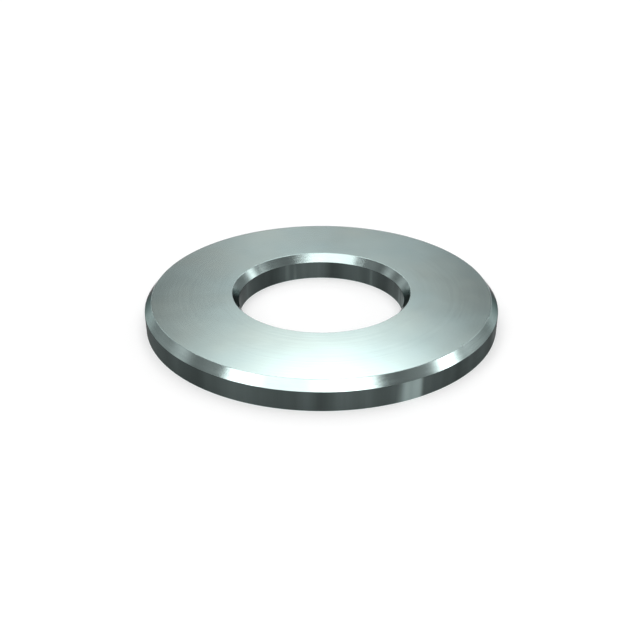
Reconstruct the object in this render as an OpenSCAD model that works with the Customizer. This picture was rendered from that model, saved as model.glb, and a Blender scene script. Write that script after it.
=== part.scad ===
// Round flat washer for an 8 mm bolt, with a chamfered rim and a chamfered bore.
// It lies on its plain lower face, and both chamfers are on the upper face.
// The axis of the bore is Z, and the origin is on it in the lower face.

/* [Washer] */
// Outside diameter of the rim
rim_d = 18; // [15:0.1:24]
// Diameter of the bore that the bolt passes through
bore_d = 8.5; // [6.5:0.1:11]
// Thickness from the lower face to the upper face
thickness = 1.4; // [1:0.05:3]

/* [Rim chamfer] */
// Width of the rim's chamfer, measured across the upper face
rim_chamfer_w = 0.36; // [0.1:0.02:0.8]
// Height of the rim's chamfer, measured down the rim wall
rim_chamfer_h = 0.44; // [0.1:0.02:0.8]

/* [Bore chamfer] */
// Width of the bore's chamfer, measured across the upper face
bore_chamfer_w = 0.33; // [0.1:0.01:0.8]
// Height of the bore's chamfer, measured down the bore wall
bore_chamfer_h = 0.44; // [0.1:0.02:0.8]

/* [Hidden] */
$fn = 180;

rim_r = rim_d / 2;
bore_r = bore_d / 2;
rim_wall_top = thickness - rim_chamfer_h;
bore_wall_top = thickness - bore_chamfer_h;
face_outer_r = rim_r - rim_chamfer_w;
face_inner_r = bore_r + bore_chamfer_w;

// Half of the washer's section, with the bore wall on its left and the rim wall on its right
module half_section() {
    polygon([
        [bore_r, 0],
        [rim_r, 0],
        [rim_r, rim_wall_top],
        [face_outer_r, thickness],
        [face_inner_r, thickness],
        [bore_r, bore_wall_top],
    ]);
}

// The washer, turned in one piece
module washer() {
    color("LightSlateGray")
        rotate_extrude()
            half_section();
}

washer();
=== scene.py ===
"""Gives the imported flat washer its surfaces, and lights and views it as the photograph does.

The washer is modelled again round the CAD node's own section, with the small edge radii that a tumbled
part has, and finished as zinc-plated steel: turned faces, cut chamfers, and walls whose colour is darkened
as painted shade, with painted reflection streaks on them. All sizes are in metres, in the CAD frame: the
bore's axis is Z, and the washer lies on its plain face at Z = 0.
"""

import math

import bpy
from bpy.props import FloatProperty, FloatVectorProperty, IntProperty, PointerProperty
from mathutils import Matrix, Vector


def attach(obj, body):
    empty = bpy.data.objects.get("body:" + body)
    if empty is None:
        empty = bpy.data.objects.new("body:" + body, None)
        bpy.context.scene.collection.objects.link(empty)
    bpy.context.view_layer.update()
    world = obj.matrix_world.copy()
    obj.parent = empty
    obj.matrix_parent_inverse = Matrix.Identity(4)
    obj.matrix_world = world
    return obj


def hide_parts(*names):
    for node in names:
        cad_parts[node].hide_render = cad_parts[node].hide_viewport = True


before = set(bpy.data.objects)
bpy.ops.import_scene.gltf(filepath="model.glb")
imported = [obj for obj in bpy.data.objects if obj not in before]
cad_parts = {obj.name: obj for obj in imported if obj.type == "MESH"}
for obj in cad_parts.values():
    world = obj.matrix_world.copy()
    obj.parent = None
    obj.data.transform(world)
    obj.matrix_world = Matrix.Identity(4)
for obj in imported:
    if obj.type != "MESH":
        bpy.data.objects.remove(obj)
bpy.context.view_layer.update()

bl_info = {
    "name": "Chamfered Flat Washer",
    "version": (1, 0, 0),
    "blender": (4, 5, 0),
    "location": "View3D > Sidebar > Washer",
    "description": "Models and finishes a chamfered flat washer round its CAD node, on a pale studio floor",
    "category": "Add Mesh",
}

NODE = "washer"
BODY = "root"
MM = 0.001
# How far a corner of the CAD node may stray from the face or the wall that it lies on
SAME_PLACE = 0.002 * MM
# A face belongs to a surface where the Z parts of their normals differ by less than this
SAME_LEAN = 0.01
# The painted reflection streaks on each wall: the seed of their random pattern, their width, and how far
# the pattern is turned about the bore's axis, which puts the bright and the dark ones where the photograph
# shows them
RIM_PAINTED_STREAKS = (12, 2.0 * MM, math.radians(-98))
BORE_PAINTED_STREAKS = (29, 1.6 * MM, math.radians(-164))
# How much of the light the floor's paper returns, and how far its white is lifted where it is seen
PAPER_COLOUR = (0.7, 0.7, 0.7, 1)
PAPER_LIFT = 0.35
# Brightness of the studio's walls and ceiling by height, in degrees above the horizon. They are pale
# behind the floor, dim where the washer mirrors them, and bright overhead, less so at the zenith
SKY = (
    (0, 1.0),
    (1.5, 1.0),
    (5, 0.32),
    (30, 0.14),
    (51, 0.14),
    (57, 1.45),
    (66, 1.45),
    (80, 0.75),
    (90, 0.55),
)
# Soft glows in that sky, as (azimuth, elevation), reach along X, Y and Z, and brightness
GLOWS = (
    # Behind the washer: the glow on the front of the upper face, and the paler band at its back
    ((0.7, 42), (0.34, 0.6, 0.31), 2.9),
    ((1.5, 35), (0.17, 0.4, 0.08), 1.6),
    ((-9, 27), (0.12, 0.4, 0.14), 0.09),
    ((0, 20), (0.36, 0.6, 0.17), 0.37),
    ((-4, 22.5), (0.1, 0.4, 0.08), 0.25),
    ((6, 23), (0.1, 0.4, 0.08), 0.1),
    # To the right: the short lights on the right of the rim's chamfer and the left of the bore's
    ((95, 26), (0.3, 0.26, 0.1), 5.5),
    ((112, 35), (0.3, 0.3, 0.12), 0.16),
    ((71, 22.5), (0.4, 0.22, 0.12), 2.4),
    ((63, 16), (0.2, 0.2, 0.1), 0.3),
    # To the left: the faint lights on the left of the rim's chamfer and the right of the bore's
    ((-78, 23), (0.4, 0.3, 0.12), 0.8),
    ((-102, 33), (0.25, 0.25, 0.15), 0.18),
    ((-44, 12), (0.3, 0.3, 0.15), 0.4),
    # Overhead to the left: a soft light on the upper face as it shows from above
    ((-50, 76), (0.35, 0.35, 0.3), 0.75),
    # Soft lights on the upper face as the other sides show it
    ((45, 36), (0.35, 0.35, 0.35), 1.4),
    ((-45, 36), (0.35, 0.35, 0.35), 1.4),
    ((180, 14), (1.5, 1.3, 0.35), 1.0),
    ((90, 9), (0.5, 0.6, 0.15), 0.7),
    ((-90, 9), (0.5, 0.6, 0.15), 0.7),
)
# Lamps over the camera and to its sides, for the bright middle of both chamfers, as name, azimuth,
# elevation, width and height in degrees, and brightness
SOFTBOXES = (
    ("front_right_softbox", 163, 40.5, 32, 11, 3.2),
    ("front_softbox", 194, 46, 57, 16, 1.8),
    ("front_left_softbox", 233, 35.5, 19, 8, 3.4),
)


def linear(hex_colour):
    """The linear colour, with alpha 1, of an sRGB colour written as RRGGBB."""
    channels = [int(hex_colour[i : i + 2], 16) / 255 for i in (0, 2, 4)]
    return [c / 12.92 if c <= 0.04045 else ((c + 0.055) / 1.055) ** 2.4 for c in channels] + [1.0]


def half_section():
    """The washer's corners as (radius, height), read from the CAD node, from the rim's foot over the
    upper face to the bore's foot."""
    places = [(math.hypot(v.co.x, v.co.y), v.co.z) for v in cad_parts[NODE].data.vertices]
    rim = max(radius for radius, height in places)
    bore = min(radius for radius, height in places)
    top = max(height for radius, height in places)
    face = [radius for radius, height in places if top - height < SAME_PLACE]
    rim_wall = [height for radius, height in places if rim - radius < SAME_PLACE]
    bore_wall = [height for radius, height in places if radius - bore < SAME_PLACE]
    return [
        (rim, 0.0),
        (rim, max(rim_wall)),
        (max(face), top),
        (min(face), top),
        (bore, max(bore_wall)),
        (bore, 0.0),
    ]


class WasherSettings(bpy.types.PropertyGroup):
    """Sizes and colours of the washer's finish."""

    edge_radius: FloatProperty(
        name="Edge Radius",
        description="Radius that tumbling leaves on the washer's edges",
        default=0.02 * MM,
        unit="LENGTH",
    )
    steps_round: IntProperty(
        name="Steps Round",
        description="Faces in one turn of the ring, enough to look truly round",
        default=384,
        min=48,
    )
    face_colour: FloatVectorProperty(
        name="Turned Face",
        description="Colour of the upper and lower faces",
        default=linear("B4CBCB")[:3],
        size=3,
        subtype="COLOR",
    )
    film_colour: FloatVectorProperty(
        name="Plating Film",
        description="Colour of the faces where the film on the plating is thicker",
        default=linear("BCCBC6")[:3],
        size=3,
        subtype="COLOR",
    )
    chamfer_colour: FloatVectorProperty(
        name="Cut Chamfer",
        description="Colour of the chamfers on the rim and the bore",
        default=linear("B9CBC9")[:3],
        size=3,
        subtype="COLOR",
    )
    # The walls' colour is darkened as painted shade, standing in for the dark surround that they mirror
    wall_painted_shade_colour: FloatVectorProperty(
        name="Wall Painted Shade",
        description="Colour of the rim wall and the bore wall",
        default=linear("525B5A")[:3],
        size=3,
        subtype="COLOR",
    )
    edge_colour: FloatVectorProperty(
        name="Rubbed Edge",
        description="Colour of the rounded edges",
        default=linear("B7CBC9")[:3],
        size=3,
        subtype="COLOR",
    )


class StageSettings(bpy.types.PropertyGroup):
    """Sizes and levels of the floor, the lights and the camera."""

    camera_elevation: FloatProperty(
        name="Camera Elevation",
        description="Angle at which the camera looks down on the washer",
        default=math.radians(28.449),
        subtype="ANGLE",
    )
    camera_distance: FloatProperty(
        name="Camera Distance",
        description="Distance from the camera to the point it is aimed at",
        default=43.09 * MM,
        unit="LENGTH",
    )
    camera_aim: FloatVectorProperty(
        name="Camera Aim",
        description="Point on the floor at the middle of the picture",
        default=(-0.07 * MM, -0.77 * MM, 0.0),
        size=3,
        subtype="TRANSLATION",
    )
    camera_lens: FloatProperty(
        name="Camera Lens",
        description="Focal length in millimetres on a 36 mm sensor",
        default=47.04,
    )
    floor_radius: FloatProperty(
        name="Floor Radius",
        description="Radius of the pale floor",
        default=1.0,
        unit="LENGTH",
    )


def node(tree, kind, inputs=None, **settings):
    """Adds a node of that kind with its settings. inputs feeds its inputs, by name or number, from
    another node's output or with a plain value."""
    made = tree.nodes.new(kind)
    for name, value in settings.items():
        setattr(made, name, value)
    for key, value in (inputs or {}).items():
        if isinstance(value, bpy.types.NodeSocket):
            tree.links.new(value, made.inputs[key])
        else:
            made.inputs[key].default_value = value
    return made


def new_material(name):
    """An empty material and its node tree."""
    material = bpy.data.materials.new(name)
    material.use_nodes = True
    material.node_tree.nodes.clear()
    return material, material.node_tree


def object_place(tree):
    """Where a point of the washer lies, in metres from its origin."""
    return node(tree, "ShaderNodeTexCoord").outputs["Object"]


def tool_rings(tree, spacing):
    """Fine rings about the bore's axis, as a tool leaves them, from 0 to 1."""
    flat = node(tree, "ShaderNodeVectorMath", {0: object_place(tree), 1: (1, 1, 0)}, operation="MULTIPLY")
    radius = node(tree, "ShaderNodeVectorMath", {0: flat.outputs["Vector"]}, operation="LENGTH")
    rings = node(
        tree,
        "ShaderNodeTexNoise",
        {"W": radius.outputs["Value"], "Scale": 1 / spacing, "Detail": 3.0, "Roughness": 0.6},
        noise_dimensions="1D",
    )
    return rings.outputs["Fac"]


def cloud(tree, size, upright=1.0, seed=0, turn=0.0):
    """Soft patches of that size, from 0 to 1, drawn out along the bore's axis as upright gets smaller.
    Each seed lays them out another way. turn is how far they are turned clockwise, seen from above."""
    place = node(
        tree,
        "ShaderNodeMapping",
        {"Vector": object_place(tree), "Rotation": (0, 0, turn), "Scale": (1, 1, upright)},
    )
    patches = node(
        tree,
        "ShaderNodeTexNoise",
        {"Vector": place.outputs["Vector"], "W": seed, "Scale": 1 / size, "Detail": 2.0},
        noise_dimensions="4D",
    )
    return patches.outputs["Fac"]


def spread(tree, pattern, low, high, start=0.25, end=0.75, ramp="LINEAR"):
    """What the pattern holds from start to end, drawn out to run from low to high."""
    inputs = {"Value": pattern, 1: start, 2: end, 3: low, 4: high}
    return node(tree, "ShaderNodeMapRange", inputs, interpolation_type=ramp).outputs["Result"]


def scaled(tree, colour, level):
    """The colour, made that many times as bright."""
    brighter = node(tree, "ShaderNodeVectorMath", {0: colour, "Scale": level}, operation="SCALE")
    return brighter.outputs["Vector"]


def shade(tree, colour, pattern, depth):
    """The colour, made lighter and darker by that share where the pattern says."""
    return scaled(tree, colour, spread(tree, pattern, 1 - depth, 1 + depth))


def relief(tree, pattern, depth):
    """The normal of a surface that the pattern raises by that depth."""
    return node(tree, "ShaderNodeBump", {"Height": pattern, "Distance": depth}).outputs["Normal"]


def steel(tree, inputs):
    """Plated steel with those inputs, as the tree's surface."""
    shader = node(tree, "ShaderNodeBsdfPrincipled", {"Metallic": 1.0, **inputs})
    node(tree, "ShaderNodeOutputMaterial", {"Surface": shader.outputs["BSDF"]})


def turned_face(colour, film_colour):
    """Zinc-plated steel, fine-turned and then tumbled. It gives the eye a satin, blue-white face that
    mirrors the studio softly, with faint rings from the tool and cloudy patches from the plating bath."""
    material, tree = new_material("zinc_plated_turned_face")
    # The real feed is about 0.05 mm a turn. The rings are drawn 0.2 mm apart, so that they show
    rings = tool_rings(tree, 0.2 * MM)
    patches = cloud(tree, 1.6 * MM)
    film = node(
        tree,
        "ShaderNodeMix",
        {0: spread(tree, cloud(tree, 4.0 * MM, seed=1), 0.0, 1.0), 6: (*colour, 1), 7: (*film_colour, 1)},
        data_type="RGBA",
    )
    roughness = node(
        tree,
        "ShaderNodeMath",
        {0: spread(tree, rings, 0.145, 0.165), 1: spread(tree, patches, -0.007, 0.013)},
        operation="ADD",
    )
    steel(
        tree,
        {
            "Base Color": shade(tree, film.outputs[2], patches, 0.025),
            "Roughness": roughness.outputs["Value"],
            "Normal": relief(tree, rings, 0.0006 * MM),
        },
    )
    return material


def turned_chamfer(name, colour, grazing):
    """Zinc-plated steel, cut by a sharp form tool. It gives the eye a narrow bright band that mirrors the
    lamps with crisp ends. grazing is how bright it stays where it is seen at a grazing angle."""
    material, tree = new_material(name)
    # The real tool marks are about 0.02 mm apart. They are drawn 0.09 mm apart, so that they show
    rings = tool_rings(tree, 0.09 * MM)
    steel(
        tree,
        {
            "Base Color": shade(tree, colour, cloud(tree, 0.9 * MM), 0.05),
            "Roughness": spread(tree, rings, 0.16, 0.2),
            "Normal": relief(tree, rings, 0.0004 * MM),
            "Specular Tint": (grazing, grazing, grazing, 1),
        },
    )
    return material


def wall_painted_shade_and_streaks(name, colour, grazing, seed, streak_width, turn):
    """Zinc-plated steel whose colour is darkened as painted shade, for the dark surround that the walls
    mirror. It gives the eye a dark wall with upright streaks of painted reflection, a few of them painted
    highlights, over fine drag lines from the punch. grazing is how bright the wall stays where it is seen
    at a grazing angle."""
    material, tree = new_material(name)
    # Upright streaks of painted reflection, lighter and darker bands laid into the wall's colour
    painted_reflection_streaks = cloud(tree, streak_width, 0.06, seed, turn)
    # The strongest streaks are painted highlights, up to three times as bright as the rest
    painted_highlights = scaled(tree, colour, spread(tree, painted_reflection_streaks, 1.0, 3.0, 0.58, 0.68, "SMOOTHSTEP"))
    # The real drag lines are about 0.03 mm apart. They are drawn 0.12 mm apart, so that they show
    lines = cloud(tree, 0.12 * MM, 0.03)
    # This tangent runs round the wall, and the quarter turn below draws the gloss out up and down it
    around = node(tree, "ShaderNodeTangent", direction_type="RADIAL", axis="Z").outputs["Tangent"]
    steel(
        tree,
        {
            # The dark colour is painted shade, and the streaks on it are painted reflections and painted
            # highlights
            "Base Color": shade(tree, shade(tree, painted_highlights, painted_reflection_streaks, 0.55), lines, 0.06),
            "Roughness": spread(tree, lines, 0.39, 0.45),
            "Normal": relief(tree, lines, 0.001 * MM),
            "Specular Tint": (grazing, grazing, grazing, 1),
            "Anisotropic": 0.95,
            "Anisotropic Rotation": 0.25,
            "Tangent": around,
        },
    )
    return material


def rubbed_edge(colour):
    """Zinc-plated steel, rubbed by tumbling against other parts. It gives the eye a thin bright line
    along the upper and lower faces, where they round off into the chamfers and the walls."""
    material, tree = new_material("zinc_plated_rubbed_edge")
    rubs = cloud(tree, 0.5 * MM)
    steel(tree, {"Base Color": shade(tree, colour, rubs, 0.12), "Roughness": spread(tree, rubs, 0.2, 0.32)})
    return material


def surface_kind(face, slopes):
    """Which surface a face belongs to, by the way it faces. slopes holds how far each chamfer faces
    upwards. The walls run on round their upper edges, up to the chamfers."""
    upwards = face.normal.z
    if abs(upwards) > 1 - SAME_LEAN:
        return "face"
    side = "rim" if face.normal.xy.dot(face.center.xy) > 0 else "bore"
    if any(abs(upwards - slope) < SAME_LEAN for slope in slopes):
        return side + "_chamfer"
    if -SAME_LEAN < upwards < min(slopes):
        return side + "_wall"
    return "edge"


def model_ring(corners, settings):
    """The ring, extruded corner by corner from the rim's foot over the upper face to the bore's foot,
    closed along the lower face, and rounded along its edges."""
    bpy.ops.object.select_all(action="DESELECT")
    bpy.ops.mesh.primitive_circle_add(vertices=settings.steps_round, radius=corners[0][0])
    ring = bpy.context.object
    ring.name = ring.data.name = "washer_ring"
    bpy.ops.object.mode_set(mode="EDIT")
    for (radius, height), (next_radius, next_height) in zip(corners, corners[1:]):
        bpy.ops.mesh.extrude_region()
        shrink = next_radius / radius
        bpy.ops.transform.resize(value=(shrink, shrink, 1), center_override=(0, 0, 0))
        bpy.ops.transform.translate(value=(0, 0, next_height - height))
    bpy.ops.mesh.select_all(action="SELECT")
    bpy.ops.mesh.select_non_manifold(extend=False)
    bpy.ops.mesh.bridge_edge_loops()
    bpy.ops.mesh.select_all(action="SELECT")
    bpy.ops.mesh.normals_make_consistent(inside=False)
    bpy.ops.mesh.faces_shade_smooth()
    bpy.ops.mesh.select_mode(type="EDGE")
    bpy.ops.mesh.select_all(action="DESELECT")
    bpy.ops.mesh.edges_select_sharp(sharpness=math.radians(30))
    bpy.ops.mesh.bevel(offset=settings.edge_radius, segments=3, affect="EDGES", harden_normals=True)
    bpy.ops.object.mode_set(mode="OBJECT")
    return ring


def finish_ring(ring, corners, settings):
    """Gives each surface of the ring its own finish."""
    slopes = [
        abs(inner - outer) / math.hypot(inner - outer, up - down)
        for (outer, down), (inner, up) in ((corners[1], corners[2]), (corners[4], corners[3]))
    ]
    finishes = {
        "face": turned_face(settings.face_colour, settings.film_colour),
        "rim_chamfer": turned_chamfer("zinc_plated_cut_rim", settings.chamfer_colour, 0.1),
        "bore_chamfer": turned_chamfer("zinc_plated_cut_bore", settings.chamfer_colour, 0.25),
        "rim_wall": wall_painted_shade_and_streaks("zinc_plated_rim_wall_painted_shade", settings.wall_painted_shade_colour, 0.5, *RIM_PAINTED_STREAKS),
        "bore_wall": wall_painted_shade_and_streaks("zinc_plated_bore_wall_painted_shade", settings.wall_painted_shade_colour, 0.8, *BORE_PAINTED_STREAKS),
        "edge": rubbed_edge(settings.edge_colour),
    }
    for material in finishes.values():
        ring.data.materials.append(material)
    order = list(finishes)
    for face in ring.data.polygons:
        face.material_index = order.index(surface_kind(face, slopes))


class WASHER_OT_model(bpy.types.Operator):
    """Models the washer round its CAD node, and gives it its finishes."""

    bl_idname = "washer.model"
    bl_label = "Model the Washer"

    def execute(self, context):
        settings = context.scene.washer
        corners = half_section()
        ring = model_ring(corners, settings)
        finish_ring(ring, corners, settings)
        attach(ring, BODY)
        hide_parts(NODE)
        return {"FINISHED"}


def outward(azimuth, elevation):
    """The direction from the washer to that place in the studio. Azimuth 0 is behind the washer, along
    +Y, and 90 is to its right."""
    a, e = math.radians(azimuth), math.radians(elevation)
    return Vector((math.sin(a) * math.cos(e), math.cos(a) * math.cos(e), math.sin(e)))


def glow(tree, direction, middle, reach, level):
    """A soft glow in the sky, brightest at its middle and gone at its reach along X, Y and Z, which is
    given on a sky of radius 1."""
    away = node(tree, "ShaderNodeVectorMath", {0: direction, 1: middle}, operation="SUBTRACT")
    share = node(tree, "ShaderNodeVectorMath", {0: away.outputs["Vector"], 1: reach}, operation="DIVIDE")
    far = node(tree, "ShaderNodeVectorMath", {0: share.outputs["Vector"]}, operation="LENGTH")
    return spread(tree, far.outputs["Value"], level, 0.0, 0.0, 1.0, "SMOOTHSTEP")


def softbox(name, azimuth, elevation, width, height, radiance, distance=2.0):
    """Adds a rectangular lamp that faces the origin. Its width and height are in degrees as the washer
    sees them."""
    away = outward(azimuth, elevation)
    bpy.ops.object.light_add(type="AREA", location=away * distance)
    lamp = bpy.context.object
    lamp.name = name
    lamp.rotation_euler = away.to_track_quat("Z", "Y").to_euler()
    lamp.data.shape = "RECTANGLE"
    lamp.data.size = 2 * distance * math.tan(math.radians(width / 2))
    lamp.data.size_y = 2 * distance * math.tan(math.radians(height / 2))
    lamp.data.energy = radiance * math.pi * lamp.data.size * lamp.data.size_y
    lamp.visible_camera = False


def pale_paper():
    """Matt white paper, lifted to a plain white where it is seen or mirrored, and still shaded by what
    stands on it."""
    material, tree = new_material("pale_paper")
    paper = node(tree, "ShaderNodeBsdfDiffuse", {"Color": PAPER_COLOUR})
    path = node(tree, "ShaderNodeLightPath").outputs
    seen = node(tree, "ShaderNodeMath", {0: path["Is Camera Ray"], 1: path["Is Glossy Ray"]})
    seen = node(tree, "ShaderNodeMath", {0: seen.outputs["Value"], 1: path["Is Transmission Ray"]})
    lift = node(tree, "ShaderNodeMath", {0: seen.outputs["Value"], 1: PAPER_LIFT}, operation="MULTIPLY")
    white = node(tree, "ShaderNodeEmission", {"Strength": lift.outputs["Value"]})
    both = node(tree, "ShaderNodeAddShader", {0: paper.outputs["BSDF"], 1: white.outputs["Emission"]})
    node(tree, "ShaderNodeOutputMaterial", {"Surface": both.outputs["Shader"]})
    return material


def studio_sky():
    """The studio's walls and ceiling with their glows, as a world."""
    world = bpy.data.worlds.new("studio")
    world.use_nodes = True
    tree = world.node_tree
    tree.nodes.clear()
    direction = node(tree, "ShaderNodeTexCoord").outputs["Generated"]
    height = node(tree, "ShaderNodeSeparateXYZ", {0: direction}).outputs["Z"]
    ramp = node(tree, "ShaderNodeValToRGB", {"Fac": height})
    elements = ramp.color_ramp.elements
    while len(elements) < len(SKY):
        elements.new(1.0)
    for element, (elevation, level) in zip(elements, SKY):
        element.position = math.sin(math.radians(elevation))
        element.color = (level, level, level, 1)
    light = ramp.outputs["Color"]
    for place, reach, level in GLOWS:
        soft = glow(tree, direction, outward(*place), reach, level)
        light = node(tree, "ShaderNodeMath", {0: light, 1: soft}, operation="ADD").outputs["Value"]
    # The camera sees plain white there, as along the horizon, and the washer mirrors the studio
    camera_ray = node(tree, "ShaderNodeLightPath").outputs["Is Camera Ray"]
    shown = node(tree, "ShaderNodeMix", {"Factor": camera_ray, "A": light, "B": 1.0}).outputs["Result"]
    background = node(tree, "ShaderNodeBackground", {"Color": (1, 1, 1, 1), "Strength": shown})
    node(tree, "ShaderNodeOutputWorld", {"Surface": background.outputs["Background"]})
    return world


class WASHER_OT_stage(bpy.types.Operator):
    """Sets up the pale floor, the studio light and the camera."""

    bl_idname = "washer.stage"
    bl_label = "Set the Stage"

    def execute(self, context):
        scene = context.scene
        settings = scene.washer_stage
        bpy.ops.object.select_all(action="DESELECT")
        bpy.ops.mesh.primitive_circle_add(vertices=96, radius=settings.floor_radius, fill_type="NGON")
        floor = context.object
        floor.name = "floor"
        floor.data.materials.append(pale_paper())

        scene.world = studio_sky()
        for lamp in SOFTBOXES:
            softbox(*lamp)

        tilt = settings.camera_elevation
        towards_camera = Vector((0, -math.cos(tilt), math.sin(tilt)))
        bpy.ops.object.camera_add(
            location=Vector(settings.camera_aim) + towards_camera * settings.camera_distance,
            rotation=(math.pi / 2 - tilt, 0, 0),
        )
        camera = context.object
        camera.data.lens = settings.camera_lens
        camera.data.clip_start = 1 * MM
        scene.camera = camera
        scene.view_settings.view_transform = "Standard"
        return {"FINISHED"}


class WASHER_PT_panel(bpy.types.Panel):
    """Lists the washer's operators and settings."""

    bl_label = "Washer"
    bl_space_type = "VIEW_3D"
    bl_region_type = "UI"
    bl_category = "Washer"

    def draw(self, context):
        layout = self.layout
        for operator, group in (("washer.model", "washer"), ("washer.stage", "washer_stage")):
            layout.operator(operator)
            settings = getattr(context.scene, group)
            for name in settings.bl_rna.properties.keys():
                if name not in {"rna_type", "name"}:
                    layout.prop(settings, name)


CLASSES = (WasherSettings, StageSettings, WASHER_OT_model, WASHER_OT_stage, WASHER_PT_panel)


def register():
    for cls in CLASSES:
        bpy.utils.register_class(cls)
    bpy.types.Scene.washer = PointerProperty(type=WasherSettings)
    bpy.types.Scene.washer_stage = PointerProperty(type=StageSettings)


def unregister():
    del bpy.types.Scene.washer_stage
    del bpy.types.Scene.washer
    for cls in reversed(CLASSES):
        bpy.utils.unregister_class(cls)


def main():
    register()
    bpy.ops.washer.model()
    bpy.ops.washer.stage()


if __name__ == "__main__":
    main()
